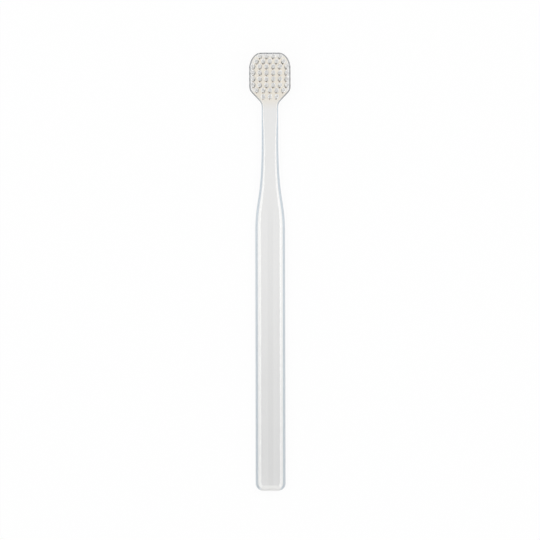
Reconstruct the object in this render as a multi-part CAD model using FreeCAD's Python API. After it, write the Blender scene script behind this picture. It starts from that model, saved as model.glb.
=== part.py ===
import FreeCAD, Part
import math
import os

# A straight adult toothbrush: one clear moulded handle with a paddle head, forty-one
# filament tufts, and the flat metal anchors that hold each folded tuft in its socket.
# Y runs from the tail to the toe of the head, X across, Z up on the bristle side.
# The origin lies under the middle of the length, on the plane of the grip's flat back.

# Handle, along its length
BRUSH_LENGTH = 170.0
GRIP_LENGTH = 100.0
NECK_LENGTH = 8.0
HEAD_LENGTH = 24.0
HEEL_LENGTH = 11.2
TOE_CORNER_LENGTH = 6.2

# Handle, across its width
GRIP_WIDTH = 11.6
NECK_WIDTH = 6.4
HEAD_WIDTH = 16.0
TOE_CORNER_WIDTH = 4.6
TAIL_CORNER_RADIUS = 3.0

# Handle, through its thickness
GRIP_THICKNESS = 6.0
NECK_THICKNESS = 4.6
HEAD_THICKNESS = 4.4

# Rims: round on the grip and the neck, a fine bevel on the head
GRIP_EDGE_RADIUS = 2.4
NECK_EDGE_RADIUS = 1.25
HEAD_EDGE_BEVEL = 0.45

# Sockets, as the plastic left between them and the outside of the head
SOCKET_DIAMETER = 1.75
SOCKET_FLOOR = 1.4
SIDE_WALL = 0.775
TOE_WALL = 0.675
HEEL_WALL = 5.975

# Tufts, with the gap that neighbours keep at their tips
TUFT_HEIGHT = 10.5
TUFT_GAP = 0.5

# Anchors, and the thickness of the fold that each one presses on the socket's floor
ANCHOR_THICKNESS = 0.3
ANCHOR_HEIGHT = 1.3
ANCHOR_BITE = 0.2
FOLD_THICKNESS = 0.4
ANCHOR_TURN_DEGREES = -12.0

# Fits, cuts, and the distance under which two places count as one
SEAT_CLEARANCE = 0.02
OVERRUN = 1.0
MATCH = 0.001

# Tufts in each row from the toe: rows of odd and even count are staggered half a pitch
ROW_COUNTS = (4, 5, 6, 6, 6, 6, 5, 3)
STAGGERED_ROW_SHARE = 5.0 / 6.0

# Sides of a bundle's ring, and straight spans along the shoulder
TUFT_SIDES = 8
SHOULDER_SPANS = 8

# How far a tip leans out sideways, as a share of its socket's distance from the middle,
# and how much of a bundle's width is left at the bottom of its fold
TIP_SPREAD_SHARE = 0.06
FOLD_WIDTH_SHARE = 0.45

# Curve handles of the outline, as shares of the stretch that each curve crosses
SHOULDER_HANDLE_SHARES = (0.37, 0.705)
FLARE_HANDLE_SHARE = 0.3
SLOPE_START_SHARES = (0.25, 0.5)
SLOPE_END_SHARES = (0.79, 0.745)
SLOPE_HANDLE_SHARES = (0.59, 0.32)
SIDE_HANDLE_SHARE = 0.13
ROUND_HANDLE_SHARE = 0.5523

# Largest rounding or bevel that a wall or a corner can carry, as shares of it
WALL_ROUND_SHARE = 0.45
CORNER_ROUND_SHARE = 0.8

# Stations along the length
TAIL_Y = -BRUSH_LENGTH / 2
TOE_Y = BRUSH_LENGTH / 2
SHOULDER_Y = TAIL_Y + GRIP_LENGTH
HEAD_Y = TOE_Y - HEAD_LENGTH
WAIST_Y = HEAD_Y - NECK_LENGTH

# Levels through the thickness: grip, neck and head share one middle plane
MIDDLE_Z = GRIP_THICKNESS / 2
FACE_Z = MIDDLE_Z + HEAD_THICKNESS / 2
FLOOR_Z = FACE_Z - HEAD_THICKNESS + SOCKET_FLOOR
ANCHOR_Z = FLOOR_Z + FOLD_THICKNESS
ANCHOR_LENGTH = SOCKET_DIAMETER + 2 * ANCHOR_BITE

# Rims as the walls beside them allow
GRIP_RIM = min(
    GRIP_EDGE_RADIUS,
    WALL_ROUND_SHARE * GRIP_THICKNESS,
    WALL_ROUND_SHARE * GRIP_WIDTH,
    CORNER_ROUND_SHARE * TAIL_CORNER_RADIUS,
)
NECK_RIM = min(NECK_EDGE_RADIUS, WALL_ROUND_SHARE * NECK_THICKNESS, WALL_ROUND_SHARE * NECK_WIDTH)
HEAD_RIM = min(
    HEAD_EDGE_BEVEL,
    WALL_ROUND_SHARE * HEAD_THICKNESS,
    CORNER_ROUND_SHARE * SIDE_WALL,
    CORNER_ROUND_SHARE * TOE_WALL,
)

# Pattern of the sockets, and the tip that its pitches leave room for
ROW_STEPS = [
    STAGGERED_ROW_SHARE if count % 2 != below % 2 else 1
    for count, below in zip(ROW_COUNTS, ROW_COUNTS[1:])
]
FIELD_LENGTH = HEAD_LENGTH - TOE_WALL - HEEL_WALL - SOCKET_DIAMETER
ROW_PITCH = FIELD_LENGTH / sum(ROW_STEPS)
COLUMN_PITCH = (HEAD_WIDTH - 2 * SIDE_WALL - SOCKET_DIAMETER) / (max(ROW_COUNTS) - 1)
TIP_DIAMETER = min(ROW_PITCH, COLUMN_PITCH) - TUFT_GAP


def at(x, y, z=0):
    return FreeCAD.Vector(x, y, z)


def line(start, end):
    return Part.LineSegment(start, end).toShape()


def bezier(*poles):
    curve = Part.BezierCurve()
    curve.setPoles(list(poles))
    return curve


def between(start, end, share):
    return start + (end - start) * share


def mirrored_block(right, thickness):
    """A plate whose outline is the right-hand edges, their mirror images and two cross lines."""
    left = [edge.mirror(at(0, 0), at(1, 0)) for edge in right]
    first = right[0].firstVertex().Point
    last = right[-1].lastVertex().Point
    cross = [line(at(-first.x, first.y), first), line(at(-last.x, last.y), last)]
    face = Part.Face(Part.Wire(Part.sortEdges(right + left + cross)[0]))
    face.translate(at(0, 0, MIDDLE_Z - thickness / 2))
    return face.extrude(at(0, 0, thickness))


def rims(block, joined_y):
    """Edges round the front and the back of a plate, but for its end that joins the neck."""
    boxes = [(edge, edge.BoundBox) for edge in block.Edges]
    level = [(edge, box) for edge, box in boxes if box.ZLength < MATCH]
    return [edge for edge, box in level if abs(box.Center.y - joined_y) > MATCH]


def grip():
    """The flat grip with its rounded tail and rims."""
    half = GRIP_WIDTH / 2
    corner_x = half - TAIL_CORNER_RADIUS
    corner_y = TAIL_Y + TAIL_CORNER_RADIUS
    diagonal = TAIL_CORNER_RADIUS * math.sqrt(0.5)
    tail_arc = Part.Arc(
        at(corner_x, TAIL_Y),
        at(corner_x + diagonal, corner_y - diagonal),
        at(half, corner_y),
    )
    side = line(at(half, corner_y), at(half, SHOULDER_Y))
    block = mirrored_block([tail_arc.toShape(), side], GRIP_THICKNESS)
    return block.makeFillet(GRIP_RIM, rims(block, SHOULDER_Y))


def head():
    """The paddle head on its flared heel, bevelled round both rims, before its sockets."""
    neck = NECK_WIDTH / 2
    side = HEAD_WIDTH / 2
    flare = side - neck
    start_across, start_along = SLOPE_START_SHARES
    end_across, end_along = SLOPE_END_SHARES
    slope_start = at(neck + start_across * flare, HEAD_Y + start_along * HEEL_LENGTH)
    slope_end = at(neck + end_across * flare, HEAD_Y + end_along * HEEL_LENGTH)
    flare_curve = bezier(
        at(neck, HEAD_Y),
        at(neck, HEAD_Y + FLARE_HANDLE_SHARE * HEEL_LENGTH),
        between(slope_start, slope_end, -SLOPE_HANDLE_SHARES[0]),
        slope_start,
    )
    side_y = HEAD_Y + HEEL_LENGTH
    heel_curve = bezier(
        slope_end,
        between(slope_end, slope_start, -SLOPE_HANDLE_SHARES[1]),
        at(side, side_y - SIDE_HANDLE_SHARE * HEEL_LENGTH),
        at(side, side_y),
    )
    toe_x = side - TOE_CORNER_WIDTH
    toe_y = TOE_Y - TOE_CORNER_LENGTH
    toe_curve = bezier(
        at(side, toe_y),
        at(side, toe_y + ROUND_HANDLE_SHARE * TOE_CORNER_LENGTH),
        at(toe_x + ROUND_HANDLE_SHARE * TOE_CORNER_WIDTH, TOE_Y),
        at(toe_x, TOE_Y),
    )
    right = [
        flare_curve.toShape(),
        line(slope_start, slope_end),
        heel_curve.toShape(),
        line(at(side, side_y), at(side, toe_y)),
        toe_curve.toShape(),
    ]
    block = mirrored_block(right, HEAD_THICKNESS)
    return block.makeChamfer(HEAD_RIM, rims(block, HEAD_Y))


def section(y, width, thickness, corner, is_round):
    """A rectangle across the handle, with its four corners rounded or bevelled."""
    flat_x = width / 2 - corner
    flat_z = thickness / 2 - corner
    bulge = corner * math.sqrt(0.5)
    corners = []
    for side_x, side_z in ((1, 1), (-1, 1), (-1, -1), (1, -1)):
        on_side = at(side_x * width / 2, y, MIDDLE_Z + side_z * flat_z)
        on_face = at(side_x * flat_x, y, MIDDLE_Z + side_z * thickness / 2)
        middle = at(side_x * (flat_x + bulge), y, MIDDLE_Z + side_z * (flat_z + bulge))
        first, last = (on_side, on_face) if side_x == side_z else (on_face, on_side)
        edge = Part.Arc(first, middle, last).toShape() if is_round else line(first, last)
        corners.append((first, last, edge))
    edges = []
    for place, (first, last, edge) in enumerate(corners):
        next_first = corners[(place + 1) % len(corners)][0]
        edges += [edge, line(last, next_first)]
    return Part.Wire(edges)


def shoulder_and_neck():
    """The grip's section drawn in along the shoulder to the neck, and on to the head's bevel."""
    length = WAIST_Y - SHOULDER_Y
    leave_share, arrive_share = SHOULDER_HANDLE_SHARES
    outline = bezier(
        at(GRIP_WIDTH / 2, SHOULDER_Y),
        at(GRIP_WIDTH / 2, SHOULDER_Y + leave_share * length),
        at(NECK_WIDTH / 2, WAIST_Y - arrive_share * length),
        at(NECK_WIDTH / 2, WAIST_Y),
    )
    sections = []
    for step in range(SHOULDER_SPANS + 1):
        point = outline.value(step / SHOULDER_SPANS)
        share = (point.y - SHOULDER_Y) / length
        eased_share = share * share * (3 - 2 * share)
        thickness = GRIP_THICKNESS + (NECK_THICKNESS - GRIP_THICKNESS) * eased_share
        rim = GRIP_RIM + (NECK_RIM - GRIP_RIM) * share
        sections.append(section(point.y, 2 * point.x, thickness, rim, True))
    sections.append(section(HEAD_Y, NECK_WIDTH, HEAD_THICKNESS, HEAD_RIM, False))
    return Part.makeLoft(sections, True, True)


def tuft_places():
    """Row, place, X and Y of each tuft, row by row from the toe and from left to right."""
    first_y = TOE_Y - TOE_WALL - SOCKET_DIAMETER / 2
    places = []
    for row, count in enumerate(ROW_COUNTS):
        y = first_y - ROW_PITCH * sum(ROW_STEPS[:row])
        for place in range(count):
            x = (place - (count - 1) / 2) * COLUMN_PITCH
            places.append((row + 1, place + 1, x, y))
    return places


def turned_plate(length, thickness, bottom, top):
    """An upright plate on a socket's axis, its length along Y before the anchor's turn."""
    corner = at(-thickness / 2, -length / 2, bottom)
    plate = Part.makeBox(thickness, length, top - bottom, corner)
    plate.rotate(at(0, 0), at(0, 0, 1), ANCHOR_TURN_DEGREES)
    return plate


def socket():
    """A blind round socket with the two slits that its anchor cuts on the way down."""
    top = FACE_Z + OVERRUN
    bore = Part.makeCylinder(SOCKET_DIAMETER / 2, top - FLOOR_Z, at(0, 0, FLOOR_Z))
    slit = turned_plate(
        ANCHOR_LENGTH + 2 * SEAT_CLEARANCE,
        ANCHOR_THICKNESS + 2 * SEAT_CLEARANCE,
        ANCHOR_Z - SEAT_CLEARANCE,
        top,
    )
    return bore.fuse(slit)


def handle(places):
    """Grip, neck and head in one moulding, with a blind socket for each tuft."""
    body = grip().fuse([shoulder_and_neck(), head()])
    one_socket = socket()
    sockets = [one_socket.translated(at(x, y)) for row, place, x, y in places]
    return body.cut(Part.makeCompound(sockets)).Solids[0]


def anchors(places):
    """Flat plates in the folds of the tufts, longer than the sockets so that both ends bite."""
    plate = turned_plate(ANCHOR_LENGTH, ANCHOR_THICKNESS, ANCHOR_Z, ANCHOR_Z + ANCHOR_HEIGHT)
    return Part.makeCompound([plate.translated(at(x, y)) for row, place, x, y in places])


def bundle_ring(radius, centre):
    """Corners of a level ring round the bundle, turned with its anchor."""
    turn = math.radians(ANCHOR_TURN_DEGREES)
    angles = [turn + 2 * math.pi * (side + 0.5) / TUFT_SIDES for side in range(TUFT_SIDES)]
    return [centre + at(radius * math.cos(angle), radius * math.sin(angle)) for angle in angles]


def flat_sided(rings):
    """A solid through rings that are alike in shape, with flat sides from ring to ring."""
    outlines = [rings[0], rings[-1]]
    for lower, upper in zip(rings, rings[1:]):
        for side in range(TUFT_SIDES):
            outlines.append([lower[side - 1], lower[side], upper[side], upper[side - 1]])
    faces = [Part.Face(Part.makePolygon(outline + outline[:1])) for outline in outlines]
    return Part.makeSolid(Part.makeShell(faces))


def fold_relief(radius, side):
    """What a bundle's fold lacks beside the anchor, where the filaments turn up from the floor."""
    corners = [
        at(side * FOLD_WIDTH_SHARE * radius, -radius, FLOOR_Z),
        at(side * radius, -radius, ANCHOR_Z),
        at(side * radius, -radius, FLOOR_Z),
    ]
    relief = Part.Face(Part.makePolygon(corners + corners[:1])).extrude(at(0, 2 * radius))
    relief.rotate(at(0, 0), at(0, 0, 1), ANCHOR_TURN_DEGREES)
    return relief


def tuft(x, y):
    """A bundle of filaments: the fold on the socket's floor, two legs, and the free length."""
    radius = SOCKET_DIAMETER / 2 - SEAT_CLEARANCE
    lean = TIP_SPREAD_SHARE * x
    bundle = flat_sided([
        bundle_ring(radius, at(x, y, FLOOR_Z + SEAT_CLEARANCE)),
        bundle_ring(radius, at(x, y, FACE_Z)),
        bundle_ring(TIP_DIAMETER / 2, at(x + lean, y, FACE_Z + TUFT_HEIGHT)),
    ])
    window = turned_plate(
        ANCHOR_LENGTH,
        ANCHOR_THICKNESS + 2 * SEAT_CLEARANCE,
        ANCHOR_Z - SEAT_CLEARANCE,
        ANCHOR_Z + ANCHOR_HEIGHT + SEAT_CLEARANCE,
    )
    cuts = Part.makeCompound([window, fold_relief(radius, 1), fold_relief(radius, -1)])
    return bundle.cut(cuts.translated(at(x, y))).Solids[0]


def main():
    os.makedirs("parts", exist_ok=True)
    places = tuft_places()
    handle(places).exportStep("parts/handle.step")
    anchors(places).exportStep("parts/anchors.step")
    for row, place, x, y in places:
        tuft(x, y).exportStep(f"parts/tuft_row{row}_{place}.step")


main()
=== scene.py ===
"""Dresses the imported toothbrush: clear moulded handle, folded filaments, brass anchors and a studio."""

import math

import bpy
import numpy as np
from bpy.props import FloatProperty, FloatVectorProperty, IntProperty, PointerProperty
from mathutils import Matrix, Vector


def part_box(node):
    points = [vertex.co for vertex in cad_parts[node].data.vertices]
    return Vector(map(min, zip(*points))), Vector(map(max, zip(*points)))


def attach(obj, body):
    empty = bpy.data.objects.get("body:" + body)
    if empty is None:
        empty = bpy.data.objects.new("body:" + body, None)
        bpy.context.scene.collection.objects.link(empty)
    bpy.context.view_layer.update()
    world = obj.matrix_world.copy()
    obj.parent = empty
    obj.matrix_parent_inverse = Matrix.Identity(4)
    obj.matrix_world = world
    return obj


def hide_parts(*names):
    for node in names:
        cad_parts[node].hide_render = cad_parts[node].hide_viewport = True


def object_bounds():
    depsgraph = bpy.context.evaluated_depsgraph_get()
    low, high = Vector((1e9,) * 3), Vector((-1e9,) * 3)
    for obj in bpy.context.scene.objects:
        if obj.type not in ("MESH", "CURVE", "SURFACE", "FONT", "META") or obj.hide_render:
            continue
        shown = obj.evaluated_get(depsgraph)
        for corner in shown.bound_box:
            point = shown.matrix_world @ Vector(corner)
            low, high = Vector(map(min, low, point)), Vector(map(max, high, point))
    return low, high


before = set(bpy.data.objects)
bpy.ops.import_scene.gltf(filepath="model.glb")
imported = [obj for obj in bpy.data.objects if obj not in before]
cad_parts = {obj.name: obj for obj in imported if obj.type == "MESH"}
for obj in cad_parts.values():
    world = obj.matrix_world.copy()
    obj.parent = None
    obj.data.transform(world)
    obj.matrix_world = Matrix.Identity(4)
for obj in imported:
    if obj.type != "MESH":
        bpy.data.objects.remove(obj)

bl_info = {
    "name": "Clear toothbrush",
    "version": (1, 0, 0),
    "blender": (4, 5, 0),
    "location": "View3D > Sidebar > Toothbrush",
    "description": "Builds the looks of a clear manual toothbrush around its packed CAD frame",
    "category": "Object",
}

BODY = "root"
TUFT_NAMES = sorted(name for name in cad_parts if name.startswith("tuft_"))
HANDLE_LOW, HANDLE_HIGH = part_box("handle")
CAD_LOW, CAD_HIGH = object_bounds()
MM = 0.001

# Outline of the handle: how far curves lean on their ends, as shares of the stretch that they shape
SHOULDER_LEAVE_SHARE, SHOULDER_ARRIVE_SHARE = 0.37, 0.705
HEEL_LEAVE_SHARE, HEEL_ARRIVE_SHARE = 0.3, 0.59
SLOPE_START_SHARES, SLOPE_END_SHARES = (0.25, 0.5), (0.79, 0.745)
CORNER_LEAVE_SHARE, CORNER_ARRIVE_SHARE = 0.32, 0.13
ARC_SHARE = 0.5523

# Points in each stretch of the handle's outline, round its rims and sockets, and across worn edges
TAIL_STEPS, GRIP_STEPS, SHOULDER_STEPS, NECK_STEPS = 16, 24, 48, 6
HEEL_STEPS, SLOPE_STEPS, CORNER_STEPS, SIDE_STEPS, TOE_STEPS = 20, 4, 14, 5, 20
RIM_STEPS, SOCKET_STEPS, WEAR_STEPS = 9, 18, 2

# Sockets: how far their cutter stands over the head, and how their faces are told from the rest
SOCKET_MARK = "socket"
CUT_OVERRUN = 1 * MM
FACE_MARGIN = 0.1 * MM
WALL_MARGIN = 0.01 * MM
UPRIGHT_SLOPE = 0.5

# Packed tufts: how far below the top the tip's corners lie, and how level the ring at the socket is
TIP_REACH = 1 * MM
RING_REACH = 0.1 * MM

# Filaments: gaps round the anchor as shares of their diameter, the bend as a share of a leg's offset
FOLD_GAP_SHARE, UNDER_SHARE, BEND_SHARE = 0.55, 0.6, 0.6

# Filaments: rounded ends as shares of their radius, stations down a leg and round its fold, and sides
DOME_SHARE, END_GIRTH_SHARE = 0.15, 0.85
LEG_SHARES = (1, 0.75, 0.5, 0.25, 0)
FOLD_SHARES = (0, 0.35, 0.7, 1)
FILAMENT_SIDES = 8

# Clear plastic: slopes between which a tone comes in, where 1 is a flat face and 0 an upright wall; the rim
# tone is a painted highlight, and the side, neck, wall and head edge tones are painted shade
RIM_SLOPES = (0.999, 0.985)
SIDE_SLOPES = (0.87, 0.74)
NECK_SLOPE_LIFT = 0.1
HEAD_EDGE_SLOPES = (0.99, 0.96)
WALL_SLOPES = (0.04, 0.12)

# Clear plastic: places between which a tone comes in, from the start or the outside of what it covers; the
# head's cream is painted bounce light from the bristles, the end margins keep painted side shade off the
# tail's end, and the streak darkens a line down the grip
BOUNCE_LIGHT_STARTS = (1 * MM, 8 * MM)
BOUNCE_LIGHT_MARGINS = (0.5 * MM, 2.5 * MM)
END_MARGINS = (2.4 * MM, 1.6 * MM)
CORNER_MARGINS = (1 * MM, 2.5 * MM)
STREAK_RISE = STREAK_FADE = 20 * MM
STREAK_EDGE_SHARES = (1.25, 0.7)
STREAK_DEPTH = 0.03

# Finishes: scales of their noise per metre, the span of the noise that counts, and what it drives
NOISE_SPAN = (0.3, 0.7)
FLOW_STRETCH, FLOW_SCALE, FLOW_DETAIL = (900, 60, 900), 0.25, 3
FLOW_BUMP, FLOW_DEPTH = 0.03, 0.2 * MM
POLISH_SCALE, POLISH_DETAIL, POLISH_ROUGHNESS = 700, 4, (0.02, 0.06)
LINE_STRETCH, LINE_DEPTH = (1, 1, 0.05), 0.01 * MM
NYLON_TONE_SCALE, NYLON_LINE_SCALE, NYLON_DETAIL = 4000, 20000, 1
NYLON_ROUGHNESS, NYLON_BUMP = (0.5, 0.35), 0.1
PATCH_SCALE, PATCH_DETAIL, PATCH_SPAN = 1500, 3, (0.35, 0.65)
ROLLING_SCALE, ROLLING_BUMP, BRASS_ROUGHNESS = 12000, 0.2, (0.55, 0.35)
PAPER_SCALE, PAPER_SHADES = 900, (0.98, 1)
PLASTIC_IOR, NYLON_IOR = 1.5, 1.53

# Studio: height at which the sky has its overhead tone, and the camera's fixed settings
SKY_RISE = 0.6
SENSOR_WIDTH = 36
CLIP_END = 20


# Properties


def distance(name, description, default):
    limits = {"min": 0, "precision": 5, "subtype": "DISTANCE", "unit": "LENGTH"}
    return FloatProperty(name=name, description=description, default=default, **limits)


def share(name, description, default):
    limits = {"min": 0, "max": 1, "subtype": "FACTOR"}
    return FloatProperty(name=name, description=description, default=default, **limits)


def colour(name, description, default):
    limits = {"size": 3, "subtype": "COLOR", "min": 0, "max": 1}
    return FloatVectorProperty(name=name, description=description, default=default, **limits)


class HandleSettings(bpy.types.PropertyGroup):
    """Sizes and colours of the clear moulding."""

    grip_length: distance("Grip length", "Straight grip from the tail to the shoulder", 100 * MM)
    neck_length: distance("Neck length", "Straight neck below the head", 8 * MM)
    head_length: distance("Head length", "Head from the end of the neck to the toe", 24 * MM)
    heel_length: distance("Heel length", "Flare from the neck out to the full width of the head", 11.2 * MM)
    toe_corner_length: distance("Toe corner length", "Length of the head's rounded outer corners", 6.2 * MM)
    toe_corner_width: distance("Toe corner width", "Width of the head's rounded outer corners", 4.6 * MM)
    tail_corner: distance("Tail corner", "Radius of the two corners of the tail", 3 * MM)
    grip_width: distance("Grip width", "Width of the grip", 11.6 * MM)
    neck_width: distance("Neck width", "Width of the neck", 6.4 * MM)
    neck_thickness: distance("Neck thickness", "Thickness where the shoulder ends", 4.6 * MM)
    head_thickness: distance("Head thickness", "Thickness of the head", 4.4 * MM)
    grip_rim: distance("Grip rim", "Rounding of the grip's long edges", 2.4 * MM)
    neck_rim: distance("Neck rim", "Rounding of the neck's long edges", 1.25 * MM)
    head_rim: distance("Head rim", "Rounding of the head's edges", 0.7 * MM)
    socket_diameter: distance("Socket diameter", "Bore that holds a folded tuft", 1.75 * MM)
    slit_length: distance("Slit length", "Length of the slit that an anchor cuts", 2.19 * MM)
    slit_width: distance("Slit width", "Width of the slit that an anchor cuts", 0.34 * MM)
    slit_depth: distance("Slit floor", "Height of the slit's floor over the socket's floor", 0.38 * MM)
    flat_tint: colour("Flat tint", "Tint of the polished flat faces", (0.85, 0.85, 0.845))
    # Painted light: the cream stands in for warm light bounced off the bristles onto the head between the
    # tufts.
    head_painted_bounce: colour("Head tint", "Tint of the flat faces round the bristles", (0.84, 0.79, 0.70))
    # Painted highlight: the near-white rounding next to the flats stands in for bright light refracted and
    # reflected there.
    rim_painted_highlight: colour("Rim tint", "Tint of the rounding next to the flats", (0.98, 0.975, 0.96))
    # Painted shade: the blue-grey stands in for dark surroundings refracted in the rounded sides, over the
    # faint bluish edge tint of clear plastic.
    side_painted_shade: colour("Side tint", "Tint of the rounding at the sides of the grip", (0.41, 0.495, 0.575))
    # Painted shade, paler than on the rounding, on the upright walls.
    wall_painted_shade: colour("Wall tint", "Tint of the upright walls between the rims", (0.74, 0.82, 0.87))
    end_tint: colour("End tint", "Tint of the end of the tail", (0.79, 0.785, 0.775))
    # Painted shade on the neck's rounded sides, like the grip's.
    neck_side_painted_shade: colour("Neck side tint", "Tint of the sides of the neck", (0.37, 0.455, 0.54))
    # Painted shade: near black on the head's rounded edges, for dark refractions there.
    head_edge_painted_shade: colour("Head edge tint", "Tint of the rounded edges of the head", (0.17, 0.18, 0.195))
    socket_tint: colour("Socket tint", "Tint of the walls of the sockets", (0.98, 0.96, 0.93))
    depth_colour: colour("Depth colour", "Colour that light takes on in the plastic", (0.6, 0.61, 0.62))
    depth_density: FloatProperty(
        name="Depth density", description="How fast the depth colour builds up, per metre", default=5, min=0
    )
    # The streak darkens the flat faces' colour in a faint line down the middle of the grip.
    streak_width: distance("Streak width", "Half width of the faint flow line down the grip", 1.1 * MM)


class BristleSettings(bpy.types.PropertyGroup):
    """Sizes and colours of the filaments."""

    filament: distance("Filament", "Diameter of one filament", 0.19 * MM)
    pitch: distance("Filament pitch", "Spacing of the filaments where they leave their socket", 0.2 * MM)
    wander: distance("Wander", "How far a tip strays from its place", 0.03 * MM)
    cut_step: distance("Cut step", "How much lower the shortest ends are cut", 0.05 * MM)
    trim: distance("Trim", "How far below the packed tips the longest ends are cut", 0.02 * MM)
    bow: distance("Bow", "How far a filament bows between socket and tip", 0.03 * MM)
    lean: distance("Lean", "How far the tips lean towards the heel", 0.06 * MM)
    colour_low: colour("Shaded colour", "Darker filaments", (0.97, 0.965, 0.95))
    colour_high: colour("Lit colour", "Paler filaments", (0.995, 0.99, 0.98))
    seed: IntProperty(name="Seed", description="Start of the random draws", default=41, min=0)


class AnchorSettings(bpy.types.PropertyGroup):
    """Place and finish of the brass anchors."""

    turn: FloatProperty(
        name="Turn",
        description="Turn of the anchors in their sockets",
        default=math.radians(-12),
        subtype="ANGLE",
    )
    thickness: distance("Thickness", "Thickness of an anchor plate", 0.3 * MM)
    height: distance("Height", "Height of an anchor plate", 1.3 * MM)
    lower_edge: distance("Lower edge", "Height of an anchor over the socket's floor", 0.4 * MM)
    edge_wear: distance("Edge wear", "Bevel on the punched edges", 0.03 * MM)
    brass: colour("Brass", "Bare brass", (0.42, 0.2, 0.09))
    tarnish: colour("Tarnish", "Darkened brass", (0.12, 0.06, 0.035))


class StudioSettings(bpy.types.PropertyGroup):
    """Floor, light and camera."""

    floor_size: distance("Floor size", "Side of the floor", 6)
    floor_gap: distance("Floor gap", "Air between the handle's back and the floor", 0.1 * MM)
    floor_colour: colour("Floor colour", "Paper of the floor", (0.95, 0.95, 0.95))
    floor_white: share("Floor white", "Share of the floor's look that is plain white background", 0.94)
    glass_white: share("Glass white", "The same share as clear plastic and gloss show it", 0.985)
    # Painted shade: a lower share makes the floor darker under the tail in what gloss and clear plastic
    # see.
    tail_white_in_painted_shade: share("Tail white", "The same share in clear plastic and gloss under the tail", 0.715)
    tail_fade: distance("Tail fade", "How far from the tail the glass white is reached", 110 * MM)
    panel_power: FloatProperty(
        name="Panel power", description="Power of each light panel", default=3.0, min=0, unit="POWER"
    )
    panel_width: distance("Panel width", "Light panels across the brush", 0.4)
    panel_length: distance("Panel length", "Light panels along the brush", 1.2)
    panel_side: distance("Panel side", "Middle of each panel beside the brush", 0.32)
    panel_ahead: distance("Panel ahead", "Middle of each panel towards the head", 0.1)
    panel_height: distance("Panel height", "Middle of each panel over the floor", 0.85)
    sky_top: colour("Sky top", "Studio overhead", (0.45, 0.45, 0.45))
    sky_side: colour("Sky side", "Studio walls at the horizon", (0.62, 0.66, 0.70))
    camera_distance: distance("Camera distance", "Camera over the floor", 2.3)
    view_width: distance("View width", "Width that the picture shows at the brush", 209.83 * MM)
    view_centre: distance("View centre", "Place along the brush at the middle of the picture", 0.7 * MM)
    camera_side: FloatProperty(
        name="Camera side",
        description="Camera to the right of the brush",
        default=-0.1 * MM,
        subtype="DISTANCE",
    )
    camera_roll: FloatProperty(
        name="Camera roll", description="Turn of the picture", default=math.radians(-0.11), subtype="ANGLE"
    )
    filament_crossings: IntProperty(
        name="Filament crossings",
        description="Filaments that light is followed across in a tuft",
        default=16,
        min=1,
    )


# Materials


def new_material(name):
    """A material with an empty node tree, and that tree."""
    material = bpy.data.materials.new(name)
    material.use_nodes = True
    material.node_tree.nodes.clear()
    return material, material.node_tree


def add_node(tree, kind, values=None, **settings):
    """A node with its settings and the values of its input sockets."""
    node = tree.nodes.new(kind)
    for key, value in settings.items():
        setattr(node, key, value)
    for key, value in (values or {}).items():
        node.inputs[key].default_value = value
    return node


def show(tree, shader):
    """The material's output, with a shader on its surface."""
    output = add_node(tree, "ShaderNodeOutputMaterial")
    tree.links.new(shader.outputs[0], output.inputs["Surface"])
    return output


def rgba(value):
    return (*value, 1)


def object_place(tree):
    return add_node(tree, "ShaderNodeTexCoord").outputs["Object"]


def split_axes(tree, vector):
    node = add_node(tree, "ShaderNodeSeparateXYZ")
    tree.links.new(vector, node.inputs[0])
    return node.outputs


def stretched(tree, place, scale):
    node = add_node(tree, "ShaderNodeMapping", {"Scale": scale})
    tree.links.new(place, node.inputs["Vector"])
    return node.outputs["Vector"]


def noise(tree, vector, scale, detail=2.0):
    node = add_node(tree, "ShaderNodeTexNoise", {"Scale": scale, "Detail": detail})
    tree.links.new(vector, node.inputs["Vector"])
    return node.outputs["Fac"]


def remap(tree, value, low, high, to_low, to_high, smooth=False):
    kind = "SMOOTHSTEP" if smooth else "LINEAR"
    limits = {"From Min": low, "From Max": high, "To Min": to_low, "To Max": to_high}
    node = add_node(tree, "ShaderNodeMapRange", limits, interpolation_type=kind)
    tree.links.new(value, node.inputs["Value"])
    return node.outputs["Result"]


def ramp(tree, value, start, full):
    """0 up to a start, 1 from where it is full, and smooth between."""
    return remap(tree, value, start, full, 0, 1, smooth=True)


def maths(tree, operation, first, second):
    node = add_node(tree, "ShaderNodeMath", operation=operation)
    for socket, value in zip(node.inputs, (first, second)):
        if isinstance(value, bpy.types.NodeSocket):
            tree.links.new(value, socket)
        else:
            socket.default_value = value
    return node.outputs[0]


def size_of(tree, value):
    return maths(tree, "ABSOLUTE", value, 0)


def product(tree, first, *others):
    for other in others:
        first = maths(tree, "MULTIPLY", first, other)
    return first


def mix_colours(tree, factor, first, second):
    node = add_node(tree, "ShaderNodeMix", data_type="RGBA")
    tree.links.new(factor, node.inputs["Factor"])
    for name, value in (("A", first), ("B", second)):
        socket = next(item for item in node.inputs if item.name == name and item.type == "RGBA")
        if isinstance(value, bpy.types.NodeSocket):
            tree.links.new(value, socket)
        else:
            socket.default_value = rgba(value)
    return next(item for item in node.outputs if item.type == "RGBA")


def bump(tree, height, strength, depth):
    node = add_node(tree, "ShaderNodeBump", {"Strength": strength, "Distance": depth})
    tree.links.new(height, node.inputs["Height"])
    return node.outputs["Normal"]


def darker_middle_line(tree, across, along, flow, settings):
    """Depth of the faint line that wavers down the middle of the grip."""
    waver = product(tree, maths(tree, "SUBTRACT", flow, 0.5), settings.streak_width)
    beside = size_of(tree, maths(tree, "ADD", across, waver))
    in_streak = ramp(tree, beside, *(settings.streak_width * part for part in STREAK_EDGE_SHARES))
    top = HANDLE_LOW.y + settings.grip_length + STREAK_RISE
    return product(tree, in_streak, ramp(tree, along, top, top - STREAK_FADE), STREAK_DEPTH)


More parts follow.
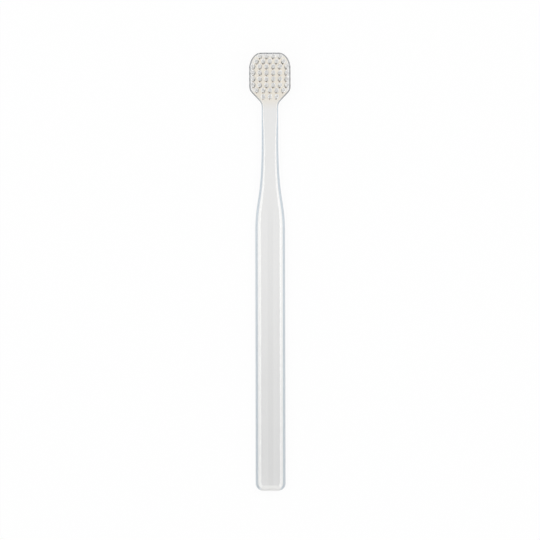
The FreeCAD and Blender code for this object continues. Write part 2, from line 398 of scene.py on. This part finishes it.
def flat_tone(tree, across, along, on_head, streak, settings):
    """Flat faces: grey with a faint darker line down the grip, and cream between the bristles that is
    painted warm bounce light from them.
    """
    grey = mix_colours(tree, streak, settings.flat_tint, (0, 0, 0))
    # Painted warm bounce light from the bristles on the head's flats within the margins
    inside = ramp(tree, size_of(tree, across), *(HANDLE_HIGH.x - margin for margin in BOUNCE_LIGHT_MARGINS))
    below_toe = ramp(tree, along, *(HANDLE_HIGH.y - margin for margin in BOUNCE_LIGHT_MARGINS))
    return mix_colours(tree, product(tree, on_head, inside, below_toe), grey, settings.head_painted_bounce)


def side_tone(tree, across, along, on_neck, off_wall, settings):
    """Sides: painted blue-grey shade on the rounding, the end tint at the end of the tail, and paler
    painted shade on upright walls.
    """
    rounding = mix_colours(tree, on_neck, settings.side_painted_shade, settings.neck_side_painted_shade)
    half = settings.grip_width / 2
    by_end = ramp(tree, along, *(HANDLE_LOW.y + margin for margin in END_MARGINS))
    off_corner = ramp(tree, size_of(tree, across), *(half - margin for margin in CORNER_MARGINS))
    rounding = mix_colours(tree, product(tree, by_end, off_corner), rounding, settings.end_tint)
    return mix_colours(tree, off_wall, settings.wall_painted_shade, rounding)


def plastic_tint_with_painted_light(tree, place, flow, settings):
    """Tint of the clear moulding by slope and place, with painted light: a painted highlight on the rims,
    painted shade on the sides, walls and head edges, and painted bounce light in cream between the
    bristles.
    """
    across, along, _ = split_axes(tree, place)
    normal = add_node(tree, "ShaderNodeNewGeometry").outputs["Normal"]
    level = size_of(tree, split_axes(tree, normal)["Z"])
    shoulder = HANDLE_LOW.y + settings.grip_length
    head_start = HANDLE_HIGH.y - settings.head_length
    on_neck = remap(tree, along, shoulder, head_start - settings.neck_length, 0, 1)
    on_head = ramp(tree, along, *(head_start + start for start in BOUNCE_LIGHT_STARTS))
    off_wall = ramp(tree, level, *WALL_SLOPES)
    streak = darker_middle_line(tree, across, along, flow, settings)
    flat = flat_tone(tree, across, along, on_head, streak, settings)
    side = side_tone(tree, across, along, on_neck, off_wall, settings)
    # Painted highlight on the rims next to the flats
    tint = mix_colours(tree, ramp(tree, level, *RIM_SLOPES), flat, settings.rim_painted_highlight)
    lowered = maths(tree, "SUBTRACT", level, product(tree, on_neck, NECK_SLOPE_LIFT))
    # Painted shade on the rounded sides, reaching further onto the neck's rounding
    tint = mix_colours(tree, ramp(tree, lowered, *SIDE_SLOPES), tint, side)
    # Painted shade on the head's rounded edges
    on_head_edge = product(tree, ramp(tree, level, *HEAD_EDGE_SLOPES), off_wall, on_head)
    tint = mix_colours(tree, on_head_edge, tint, settings.head_edge_painted_shade)
    in_socket = add_node(tree, "ShaderNodeAttribute", attribute_name=SOCKET_MARK).outputs["Fac"]
    return mix_colours(tree, in_socket, tint, settings.socket_tint)


def clear_plastic(settings):
    """Polished clear moulding: greyish flats, rims pale with a painted highlight, blue-grey sides in
    painted shade, a faint darker line down the grip.
    """
    material, tree = new_material("clear_plastic")
    place = object_place(tree)
    flow = noise(tree, stretched(tree, place, FLOW_STRETCH), FLOW_SCALE, FLOW_DETAIL)
    shader = add_node(tree, "ShaderNodeBsdfPrincipled", {"Transmission Weight": 1, "IOR": PLASTIC_IOR})
    tree.links.new(plastic_tint_with_painted_light(tree, place, flow, settings), shader.inputs["Base Color"])
    polish = noise(tree, place, POLISH_SCALE, POLISH_DETAIL)
    tree.links.new(remap(tree, polish, *NOISE_SPAN, *POLISH_ROUGHNESS), shader.inputs["Roughness"])
    tree.links.new(bump(tree, flow, FLOW_BUMP, FLOW_DEPTH), shader.inputs["Normal"])
    depth = add_node(tree, "ShaderNodeVolumeAbsorption", {"Density": settings.depth_density})
    depth.inputs["Color"].default_value = rgba(settings.depth_colour)
    tree.links.new(depth.outputs["Volume"], show(tree, shader).inputs["Volume"])
    return material


def filament_nylon(settings):
    """White filaments, each a little different in tone."""
    material, tree = new_material("filament_nylon")
    lines = stretched(tree, object_place(tree), LINE_STRETCH)
    tone = remap(tree, noise(tree, lines, NYLON_TONE_SCALE, NYLON_DETAIL), *NOISE_SPAN, 0, 1)
    white = mix_colours(tree, tone, settings.colour_low, settings.colour_high)
    shader = add_node(tree, "ShaderNodeBsdfPrincipled", {"IOR": NYLON_IOR})
    tree.links.new(white, shader.inputs["Base Color"])
    tree.links.new(remap(tree, tone, 0, 1, *NYLON_ROUGHNESS), shader.inputs["Roughness"])
    drawn = noise(tree, lines, NYLON_LINE_SCALE, NYLON_DETAIL)
    tree.links.new(bump(tree, drawn, NYLON_BUMP, LINE_DEPTH), shader.inputs["Normal"])
    show(tree, shader)
    return material


def anchor_brass(settings):
    """Punched brass plate, tarnished in patches, with fine rolling lines."""
    material, tree = new_material("anchor_brass")
    place = object_place(tree)
    patches = remap(tree, noise(tree, place, PATCH_SCALE, PATCH_DETAIL), *PATCH_SPAN, 0, 1)
    rolling = noise(tree, stretched(tree, place, LINE_STRETCH), ROLLING_SCALE)
    shader = add_node(tree, "ShaderNodeBsdfPrincipled", {"Metallic": 1})
    metal = mix_colours(tree, patches, settings.tarnish, settings.brass)
    tree.links.new(metal, shader.inputs["Base Color"])
    tree.links.new(remap(tree, patches, 0, 1, *BRASS_ROUGHNESS), shader.inputs["Roughness"])
    tree.links.new(bump(tree, rolling, ROLLING_BUMP, LINE_DEPTH), shader.inputs["Normal"])
    show(tree, shader)
    return material


def white_share(tree, place, settings):
    """Share of plain white that the camera sees in the floor, and that gloss and clear plastic see, which
    has painted shade towards the tail.
    """
    apart = add_node(tree, "ShaderNodeVectorMath", operation="DISTANCE")
    apart.inputs[1].default_value = (0, CAD_LOW.y, CAD_LOW.z)
    tree.links.new(place, apart.inputs[0])
    # Painted shade: gloss and clear plastic see the floor darker towards the tail, up to the tail fade
    shares = (settings.tail_white_in_painted_shade, settings.glass_white)
    painted_tail_shade = remap(tree, apart.outputs["Value"], 0, settings.tail_fade, *shares, smooth=True)
    rays = add_node(tree, "ShaderNodeLightPath").outputs
    in_glass = maths(tree, "MAXIMUM", rays["Is Glossy Ray"], rays["Is Transmission Ray"])
    in_view = product(tree, rays["Is Camera Ray"], settings.floor_white)
    return maths(tree, "MAXIMUM", in_view, product(tree, in_glass, painted_tail_shade))


def studio_floor(settings):
    """Pale paper that the camera, gloss and clear plastic see partly as plain white background, with
    painted shade under the tail in what gloss and clear plastic see.
    """
    material, tree = new_material("studio_floor")
    place = object_place(tree)
    grain = remap(tree, noise(tree, place, PAPER_SCALE), *NOISE_SPAN, *PAPER_SHADES)
    shade = add_node(tree, "ShaderNodeCombineColor")
    for socket, level in zip(shade.inputs, settings.floor_colour):
        tree.links.new(product(tree, grain, level), socket)
    paper = add_node(tree, "ShaderNodeBsdfDiffuse")
    tree.links.new(shade.outputs["Color"], paper.inputs["Color"])
    white = add_node(tree, "ShaderNodeEmission", {"Color": rgba((1, 1, 1)), "Strength": 1})
    mix = add_node(tree, "ShaderNodeMixShader")
    tree.links.new(white_share(tree, place, settings), mix.inputs["Fac"])
    tree.links.new(paper.outputs["BSDF"], mix.inputs[1])
    tree.links.new(white.outputs["Emission"], mix.inputs[2])
    show(tree, mix)
    return material


# Shapes


def mesh_object(name, points, faces):
    """A new object in the scene from points and faces."""
    mesh = bpy.data.meshes.new(name)
    mesh.from_pydata([tuple(point) for point in points], [], faces)
    mesh.validate()
    made = bpy.data.objects.new(name, mesh)
    bpy.context.scene.collection.objects.link(made)
    return made


def bezier(start, leave, arrive, end, steps):
    """Points of a cubic curve, without its start."""
    part = np.arange(1, steps + 1)[:, None] / steps
    poles = [np.array(pole) for pole in (start, leave, arrive, end)]
    weights = ((1 - part) ** 3, 3 * part * (1 - part) ** 2, 3 * part**2 * (1 - part), part**3)
    return list(sum(weight * pole for weight, pole in zip(weights, poles)))


def straight(start, end, steps):
    """Points of a straight stretch, without its start."""
    start, run = np.array(start), np.array(end) - np.array(start)
    return [start + run * step / steps for step in range(1, steps + 1)]


def half_outline(sizes):
    """The right-hand outline of the handle from the tail to the toe."""
    tail, toe, side = HANDLE_LOW.y, HANDLE_HIGH.y, HANDLE_HIGH.x
    grip, neck = sizes.grip_width / 2, sizes.neck_width / 2
    shoulder, head = tail + sizes.grip_length, toe - sizes.head_length
    waist, side_y = head - sizes.neck_length, head + sizes.heel_length
    run, flare = waist - shoulder, side - neck
    slope_start, slope_end = (
        np.array((neck + out * flare, head + up * sizes.heel_length))
        for out, up in (SLOPE_START_SHARES, SLOPE_END_SHARES)
    )
    slope = slope_end - slope_start
    toe_x, toe_y = side - sizes.toe_corner_width, toe - sizes.toe_corner_length
    corner, points = sizes.tail_corner, []
    for step in range(TAIL_STEPS + 1):
        turn = math.pi / 2 * step / TAIL_STEPS
        out, back = corner * math.sin(turn), corner * math.cos(turn)
        points.append(np.array((grip - corner + out, tail + corner - back)))
    points += straight((grip, tail + corner), (grip, shoulder), GRIP_STEPS)
    leave = (grip, shoulder + SHOULDER_LEAVE_SHARE * run)
    arrive = (neck, waist - SHOULDER_ARRIVE_SHARE * run)
    points += bezier((grip, shoulder), leave, arrive, (neck, waist), SHOULDER_STEPS)
    points += straight((neck, waist), (neck, head), NECK_STEPS)
    leave = (neck, head + HEEL_LEAVE_SHARE * sizes.heel_length)
    arrive = slope_start - HEEL_ARRIVE_SHARE * slope
    points += bezier((neck, head), leave, arrive, slope_start, HEEL_STEPS)
    points += straight(slope_start, slope_end, SLOPE_STEPS)
    leave = slope_end + CORNER_LEAVE_SHARE * slope
    arrive = (side, side_y - CORNER_ARRIVE_SHARE * sizes.heel_length)
    points += bezier(slope_end, leave, arrive, (side, side_y), CORNER_STEPS)
    points += straight((side, side_y), (side, toe_y), SIDE_STEPS)
    leave = (side, toe_y + ARC_SHARE * sizes.toe_corner_length)
    arrive = (toe_x + ARC_SHARE * sizes.toe_corner_width, toe)
    points += bezier((side, toe_y), leave, arrive, (toe_x, toe), TOE_STEPS)
    return np.array(points)


def eased(value):
    value = np.clip(value, 0, 1)
    return value * value * (3 - 2 * value)


def handle_stations(sizes):
    """Outline points with their outward normals, rim radius and half thickness."""
    outline = half_outline(sizes)
    run = np.gradient(outline, axis=0)
    normals = np.stack((run[:, 1], -run[:, 0]), axis=1)
    normals[0], normals[-1] = (0, -1), (0, 1)
    normals /= np.linalg.norm(normals, axis=1)[:, None]
    shoulder = HANDLE_LOW.y + sizes.grip_length
    head = HANDLE_HIGH.y - sizes.head_length
    waist = head - sizes.neck_length
    on_shoulder = np.clip((outline[:, 1] - shoulder) / (waist - shoulder), 0, 1)
    on_neck = np.clip((outline[:, 1] - waist) / (head - waist), 0, 1)
    grip_half = (HANDLE_HIGH.z - HANDLE_LOW.z) / 2
    half = grip_half + (sizes.neck_thickness / 2 - grip_half) * eased(on_shoulder)
    half += (sizes.head_thickness - sizes.neck_thickness) / 2 * on_neck
    rim = sizes.grip_rim + (sizes.neck_rim - sizes.grip_rim) * on_shoulder
    rim += (sizes.head_rim - sizes.neck_rim) * eased(on_neck)
    return outline, normals, rim, half


def handle_shell(sizes):
    """The moulding before its sockets: rounded rims swept round the outline, joined by flat faces."""
    outline, normals, rim, half = handle_stations(sizes)
    middle = (HANDLE_LOW.z + HANDLE_HIGH.z) / 2
    turns = np.linspace(0, math.pi / 2, RIM_STEPS + 1)
    inset = np.concatenate((1 - np.cos(turns[::-1]), 1 - np.cos(turns)))
    rise = np.concatenate((1 - np.sin(turns[::-1]), np.sin(turns) - 1))
    sign = np.concatenate((-np.ones_like(turns), np.ones_like(turns)))
    across = outline[:, None, :] - normals[:, None, :] * (rim[:, None] * inset)[:, :, None]
    height = middle + sign * half[:, None] + rim[:, None] * rise
    right = np.concatenate((across, height[:, :, None]), axis=2)
    left = right * (-1, 1, 1)
    stations, ring = right.shape[:2]
    points = np.concatenate((right.reshape(-1, 3), left.reshape(-1, 3)))
    shift = stations * ring

    def at(station, step, is_left=False):
        return station * ring + step + (shift if is_left else 0)

    faces = []
    for station in range(stations - 1):
        following = station + 1
        for step in range(ring - 1):
            wall = [(station, step), (following, step), (following, step + 1), (station, step + 1)]
            faces.append([at(*corner) for corner in wall])
            faces.append([at(*corner, True) for corner in wall[::-1]])
        for step, order in ((0, 1), (ring - 1, -1)):
            strip = [at(station, step), at(station, step, True)]
            strip += [at(following, step, True), at(following, step)]
            faces.append(strip[::order])
    for station, order in ((0, 1), (stations - 1, -1)):
        for step in range(ring - 1):
            end = [at(station, step, True), at(station, step)]
            end += [at(station, step + 1), at(station, step + 1, True)]
            faces.append(end[::order])
    return points, faces


def socket_cutter(sizes, turn, top, floor, root):
    """A bore with the slit of its anchor above the fold, closed at both ends."""
    radius = sizes.socket_diameter / 2
    half = sizes.slit_width / 2
    start = math.asin(half / radius)
    arc = np.linspace(start - math.pi / 2, math.pi / 2 - start, SOCKET_STEPS)
    circle = [(radius * math.cos(angle), radius * math.sin(angle)) for angle in arc]
    circle += [(-x, -y) for x, y in circle]
    far = sizes.slit_length / 2
    tabs = [(half, far), (-half, far), (-half, -far), (half, -far)]
    ledge = floor + sizes.slit_depth
    levels = [(circle, floor), (circle, ledge), (circle, top), (tabs, ledge), (tabs, top)]
    spin = Matrix.Rotation(turn, 2)
    points = []
    for outline, height in levels:
        points += [(*(spin @ Vector(place) + root), height) for place in outline]
    count = len(circle)
    low, mid, high, tab_mid, tab_high = (0, count, 2 * count, 3 * count, 3 * count + 4)
    faces = [list(range(low, low + count))[::-1]]
    for side in range(count):
        following = (side + 1) % count
        faces.append([low + side, low + following, mid + following, mid + side])
        if following % SOCKET_STEPS:
            faces.append([mid + side, mid + following, high + following, high + side])
    key = []
    for end in range(2):
        last, first = SOCKET_STEPS * (end + 1) - 1, SOCKET_STEPS * (end + 1) % count
        one, two = 2 * end, 2 * end + 1
        faces += [
            [mid + last, mid + first, tab_mid + two, tab_mid + one],
            [mid + last, tab_mid + one, tab_high + one, high + last],
            [tab_mid + one, tab_mid + two, tab_high + two, tab_high + one],
            [tab_mid + two, mid + first, high + first, tab_high + two],
        ]
        key += [high + SOCKET_STEPS * end + step for step in range(SOCKET_STEPS)]
        key += [tab_high + one, tab_high + two]
    faces.append(key)
    return points, faces


def tuft_axis(name):
    """Middle and radius of a packed tuft at its socket and at its tip, from its rings of corners."""
    places = np.array([vertex.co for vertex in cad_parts[name].data.vertices])
    top = places[:, 2].max()
    tips = places[places[:, 2] > top - TIP_REACH]
    roots = places[places[:, 2] < top - TIP_REACH]
    ring = roots[roots[:, 2] > roots[:, 2].max() - RING_REACH]
    found = []
    for group in (ring, tips):
        centre = (group.min(axis=0) + group.max(axis=0)) / 2
        radius = np.linalg.norm(group[:, :2] - centre[:2], axis=1).max()
        found.append((centre, radius))
    return found, places[:, 2].min()


def cut_sockets(shell, sizes, turn):
    """Cuts a socket into the shell at every packed tuft."""
    points, faces = [], []
    for name in TUFT_NAMES:
        ((root, _), _), floor = tuft_axis(name)
        more, walls = socket_cutter(sizes, turn, root[2] + CUT_OVERRUN, floor, Vector(root[:2]))
        faces += [[corner + len(points) for corner in wall] for wall in walls]
        points += more
    cutter = mesh_object("socket_cutter", points, faces)
    cut = shell.modifiers.new("sockets", "BOOLEAN")
    cut.operation, cut.solver, cut.object = "DIFFERENCE", "EXACT", cutter
    bpy.context.view_layer.update()
    graph = bpy.context.evaluated_depsgraph_get()
    mesh = bpy.data.meshes.new_from_object(shell.evaluated_get(graph))
    shell.modifiers.clear()
    shell.data = mesh
    bpy.data.objects.remove(cutter)


def mark_sockets(mesh, sizes):
    """Marks the faces inside sockets, which have a tint of their own."""
    roots = np.array([tuft_axis(name)[0][0][0] for name in TUFT_NAMES])
    front = roots[:, 2].min()
    back = front - sizes.head_thickness
    middles = np.array([face.center for face in mesh.polygons])
    upright = np.array([abs(face.normal.z) < UPRIGHT_SLOPE for face in mesh.polygons])
    gap = np.linalg.norm(middles[:, None, :2] - roots[None, :, :2], axis=2).min(axis=1)
    sunk = (middles[:, 2] > back + FACE_MARGIN) & (middles[:, 2] < front - FACE_MARGIN)
    inside = (gap < sizes.slit_length / 2 + WALL_MARGIN) & (upright | sunk)
    mark = mesh.attributes.new(SOCKET_MARK, "FLOAT", "FACE")
    mark.data.foreach_set("value", inside.astype(np.float32))


def fold_places(sizes, radius):
    """Places of the legs on one side of a fold where they leave the socket, in a staggered grid."""
    reach = radius - sizes.filament / 2
    step = sizes.pitch * math.sqrt(0.75)
    rows = int(reach / sizes.pitch) + 1
    places = []
    for column in range(int(reach / step) + 1):
        x = (column + 0.5) * step
        for row in range(-rows, rows + 1):
            y = (row + 0.5 * (column % 2)) * sizes.pitch
            if math.hypot(x, y) <= reach:
                places.append((x, y))
    return np.array(places)


def filament_paths(sizes, anchor, name, random):
    """Centre lines of a tuft's filaments: down one leg, under the anchor, and up the other."""
    ((root, root_radius), (tip, tip_radius)), floor = tuft_axis(name)
    closed = fold_places(sizes, root_radius)
    count = len(closed)
    spin = np.array(Matrix.Rotation(anchor.turn, 2))
    reach = root_radius - sizes.filament / 2
    fan = (tip_radius - sizes.filament / 2) / reach
    inmost = anchor.thickness / 2 + sizes.filament * FOLD_GAP_SHARE
    nearest = closed[:, 0].min()
    places = closed.copy()
    places[:, 0] = inmost + (closed[:, 0] - nearest) * (reach - inmost) / (reach - nearest)
    under = floor + anchor.lower_edge - sizes.filament * UNDER_SHARE
    depth = under - (under - floor - sizes.filament * FOLD_GAP_SHARE) * places[:, 0] / reach
    bend = np.minimum(places[:, 0] * BEND_SHARE, anchor.height)
    legs = []
    for side in (1, -1):
        foot = closed * (side, 1)
        stray = random.normal(0, sizes.wander, (count, 2))
        bow = random.normal(0, sizes.bow, (count, 2))
        end = tip[2] - sizes.trim - random.uniform(0, sizes.cut_step, count)
        path = []
        for rise in LEG_SHARES:
            spread = foot * (1 + (fan - 1) * rise) + stray * rise + bow * 4 * rise * (1 - rise)
            centre = root[:2] + ((tip - root)[:2] - (0, sizes.lean)) * rise
            height = root[2] + (end - root[2]) * rise
            path.append(np.column_stack((spread @ spin.T + centre, height)))
        over = np.full(count, floor + anchor.lower_edge + anchor.height)
        path.append(np.column_stack((places * (side, 1) @ spin.T + root[:2], over)))
        for turn in FOLD_SHARES:
            angle = turn * math.pi / 2
            x = places[:, 0] - bend * (1 - math.cos(angle))
            height = depth + bend * (1 - math.sin(angle))
            flat = np.column_stack((x * side, places[:, 1]))
            path.append(np.column_stack((flat @ spin.T + root[:2], height)))
        legs.append(np.stack(path, axis=1))
    return np.concatenate((legs[0], legs[1][:, ::-1]), axis=1)


def filament_tubes(paths, radius, turn, sides=FILAMENT_SIDES):
    """Tubes with rounded ends along centre lines that each lie across their anchor."""
    runs = np.gradient(paths, axis=1)
    runs /= np.linalg.norm(runs, axis=2, keepdims=True)
    along = np.array((-math.sin(turn), math.cos(turn), 0))
    out = np.cross(runs, along)
    out /= np.linalg.norm(out, axis=2, keepdims=True)
    beside = np.cross(out, runs)
    angles = 2 * math.pi * np.arange(sides) / sides
    # The flat-sided tube keeps the cross-section area of the round filament
    radius *= math.sqrt(math.pi / (sides * math.sin(math.pi / sides) * math.cos(math.pi / sides)))
    centres, out, beside, runs = (
        np.concatenate((values[:, :1], values, values[:, -1:]), axis=1)
        for values in (paths, out, beside, runs)
    )
    shift = np.zeros(centres.shape[1])
    shift[1] = DOME_SHARE * radius
    shift[-2] = -shift[1]
    girth = np.full(centres.shape[1], radius)
    girth[0] = girth[-1] = END_GIRTH_SHARE * radius
    centres = centres + runs * shift[None, :, None]
    outward, sideward = (part[None, None, :, None] for part in (np.cos(angles), np.sin(angles)))
    spokes = outward * out[:, :, None] + sideward * beside[:, :, None]
    rings = centres[:, :, None] + spokes * girth[None, :, None, None]
    tubes, length = rings.shape[:2]
    points = rings.reshape(-1, 3)
    faces = []
    for tube in range(tubes):
        start = tube * length * sides
        for step in range(length - 1):
            base = start + step * sides
            for side in range(sides):
                following = (side + 1) % sides
                faces.append([base + side, base + following, base + sides + following, base + sides + side])
        end = start + (length - 1) * sides
        faces.append([start + side for side in range(sides)][::-1])
        faces.append([end + side for side in range(sides)])
    return points, faces


def smooth(piece, angle=40):
    """Smooth shading that keeps edges sharper than an angle in degrees."""
    piece.data.polygons.foreach_set("use_smooth", [True] * len(piece.data.polygons))
    piece.data.set_sharp_from_angle(angle=math.radians(angle))


# Operators


class TOOTHBRUSH_OT_clear_handle(bpy.types.Operator):
    """Build the clear moulded handle with its sockets"""

    bl_idname = "toothbrush.clear_handle"
    bl_label = "Clear handle"

    def execute(self, context):
        settings = context.scene.toothbrush_handle
        points, faces = handle_shell(settings)
        handle = mesh_object("clear_handle", points, faces)
        cut_sockets(handle, settings, context.scene.toothbrush_anchors.turn)
        mark_sockets(handle.data, settings)
        smooth(handle)
        even = handle.modifiers.new("even_shading", "WEIGHTED_NORMAL")
        even.keep_sharp = True
        handle.data.materials.clear()
        handle.data.materials.append(clear_plastic(settings))
        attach(handle, BODY)
        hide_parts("handle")
        return {"FINISHED"}


class TOOTHBRUSH_OT_bristles(bpy.types.Operator):
    """Fill every socket with filaments folded round its anchor"""

    bl_idname = "toothbrush.bristles"
    bl_label = "Bristles"

    def execute(self, context):
        settings = context.scene.toothbrush_bristles
        anchor = context.scene.toothbrush_anchors
        nylon = filament_nylon(settings)
        random = np.random.default_rng(settings.seed)
        for name in TUFT_NAMES:
            paths = filament_paths(settings, anchor, name, random)
            points, faces = filament_tubes(paths, settings.filament / 2, anchor.turn)
            tuft = mesh_object(name.replace("tuft", "bristles"), points, faces)
            smooth(tuft)
            tuft.data.materials.append(nylon)
            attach(tuft, BODY)
            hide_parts(name)
        return {"FINISHED"}


class TOOTHBRUSH_OT_anchors(bpy.types.Operator):
    """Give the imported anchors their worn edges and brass"""

    bl_idname = "toothbrush.anchors"
    bl_label = "Anchors"

    def execute(self, context):
        settings = context.scene.toothbrush_anchors
        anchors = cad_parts["anchors"]
        wear = anchors.modifiers.new("edge_wear", "BEVEL")
        wear.width, wear.segments, wear.limit_method = settings.edge_wear, WEAR_STEPS, "ANGLE"
        anchors.data.materials.clear()
        anchors.data.materials.append(anchor_brass(settings))
        return {"FINISHED"}


class TOOTHBRUSH_OT_studio(bpy.types.Operator):
    """Lay the floor, hang the lights and set the camera"""

    bl_idname = "toothbrush.studio"
    bl_label = "Studio"

    def execute(self, context):
        settings = context.scene.toothbrush_studio
        half, level = settings.floor_size / 2, CAD_LOW.z - settings.floor_gap
        corners = [(-half, -half, level), (half, -half, level), (half, half, level), (-half, half, level)]
        floor = mesh_object("floor", corners, [(0, 1, 2, 3)])
        floor.data.materials.append(studio_floor(settings))
        for name, side in (("panel_left", -1), ("panel_right", 1)):
            lamp = bpy.data.lights.new(name, "AREA")
            lamp.shape, lamp.size, lamp.size_y = "RECTANGLE", settings.panel_width, settings.panel_length
            lamp.energy = settings.panel_power
            panel = bpy.data.objects.new(name, lamp)
            panel.location = (side * settings.panel_side, settings.panel_ahead, settings.panel_height)
            panel.rotation_euler = (0, side * math.atan2(settings.panel_side, settings.panel_height), 0)
            context.scene.collection.objects.link(panel)
        self.make_world(context.scene, settings)
        self.make_camera(context.scene, settings)
        # Light crosses many filaments, and is reflected many times inside clear plastic
        paths, crossings = context.scene.cycles, settings.filament_crossings
        paths.diffuse_bounces = crossings
        paths.max_bounces = paths.transmission_bounces = paths.glossy_bounces = 2 * crossings
        return {"FINISHED"}

    def make_world(self, scene, settings):
        """A pale studio, cooler towards the horizon."""
        world = bpy.data.worlds.new("studio")
        scene.world = world
        world.use_nodes = True
        tree = world.node_tree
        tree.nodes.clear()
        facing = add_node(tree, "ShaderNodeTexCoord").outputs["Generated"]
        up = ramp(tree, split_axes(tree, facing)["Z"], 0, SKY_RISE)
        sky = add_node(tree, "ShaderNodeBackground", {"Strength": 1})
        tree.links.new(mix_colours(tree, up, settings.sky_side, settings.sky_top), sky.inputs["Color"])
        output = add_node(tree, "ShaderNodeOutputWorld")
        tree.links.new(sky.outputs["Background"], output.inputs["Surface"])

    def make_camera(self, scene, settings):
        """A long lens straight over the brush, with the head at the top of the picture."""
        lens = bpy.data.cameras.new("camera")
        lens.sensor_width = SENSOR_WIDTH
        lens.lens = lens.sensor_width * settings.camera_distance / settings.view_width
        lens.clip_end = CLIP_END
        camera = bpy.data.objects.new("camera", lens)
        camera.location = (settings.camera_side, settings.view_centre, settings.camera_distance)
        camera.rotation_euler = (0, 0, settings.camera_roll)
        scene.collection.objects.link(camera)
        scene.camera = camera
        scene.view_settings.view_transform = "Standard"


class TOOTHBRUSH_PT_pieces(bpy.types.Panel):
    """Lists the pieces of the toothbrush and their settings"""

    bl_label = "Toothbrush"
    bl_idname = "TOOTHBRUSH_PT_pieces"
    bl_space_type = "VIEW_3D"
    bl_region_type = "UI"
    bl_category = "Toothbrush"

    def draw(self, context):
        for operator, group in STEPS:
            box = self.layout.box()
            box.operator(operator.bl_idname)
            settings = getattr(context.scene, group)
            for key in settings.__annotations__:
                box.prop(settings, key)


GROUPS = {
    "toothbrush_handle": HandleSettings,
    "toothbrush_bristles": BristleSettings,
    "toothbrush_anchors": AnchorSettings,
    "toothbrush_studio": StudioSettings,
}
STEPS = (
    (TOOTHBRUSH_OT_clear_handle, "toothbrush_handle"),
    (TOOTHBRUSH_OT_bristles, "toothbrush_bristles"),
    (TOOTHBRUSH_OT_anchors, "toothbrush_anchors"),
    (TOOTHBRUSH_OT_studio, "toothbrush_studio"),
)
CLASSES = (*GROUPS.values(), *(operator for operator, _ in STEPS), TOOTHBRUSH_PT_pieces)


def register():
    for item in CLASSES:
        bpy.utils.register_class(item)
    for key, group in GROUPS.items():
        setattr(bpy.types.Scene, key, PointerProperty(type=group))


def unregister():
    for key in GROUPS:
        delattr(bpy.types.Scene, key)
    for item in reversed(CLASSES):
        bpy.utils.unregister_class(item)


def main():
    register()
    bpy.ops.toothbrush.clear_handle()
    bpy.ops.toothbrush.bristles()
    bpy.ops.toothbrush.anchors()
    bpy.ops.toothbrush.studio()


if __name__ == "__main__":
    main()
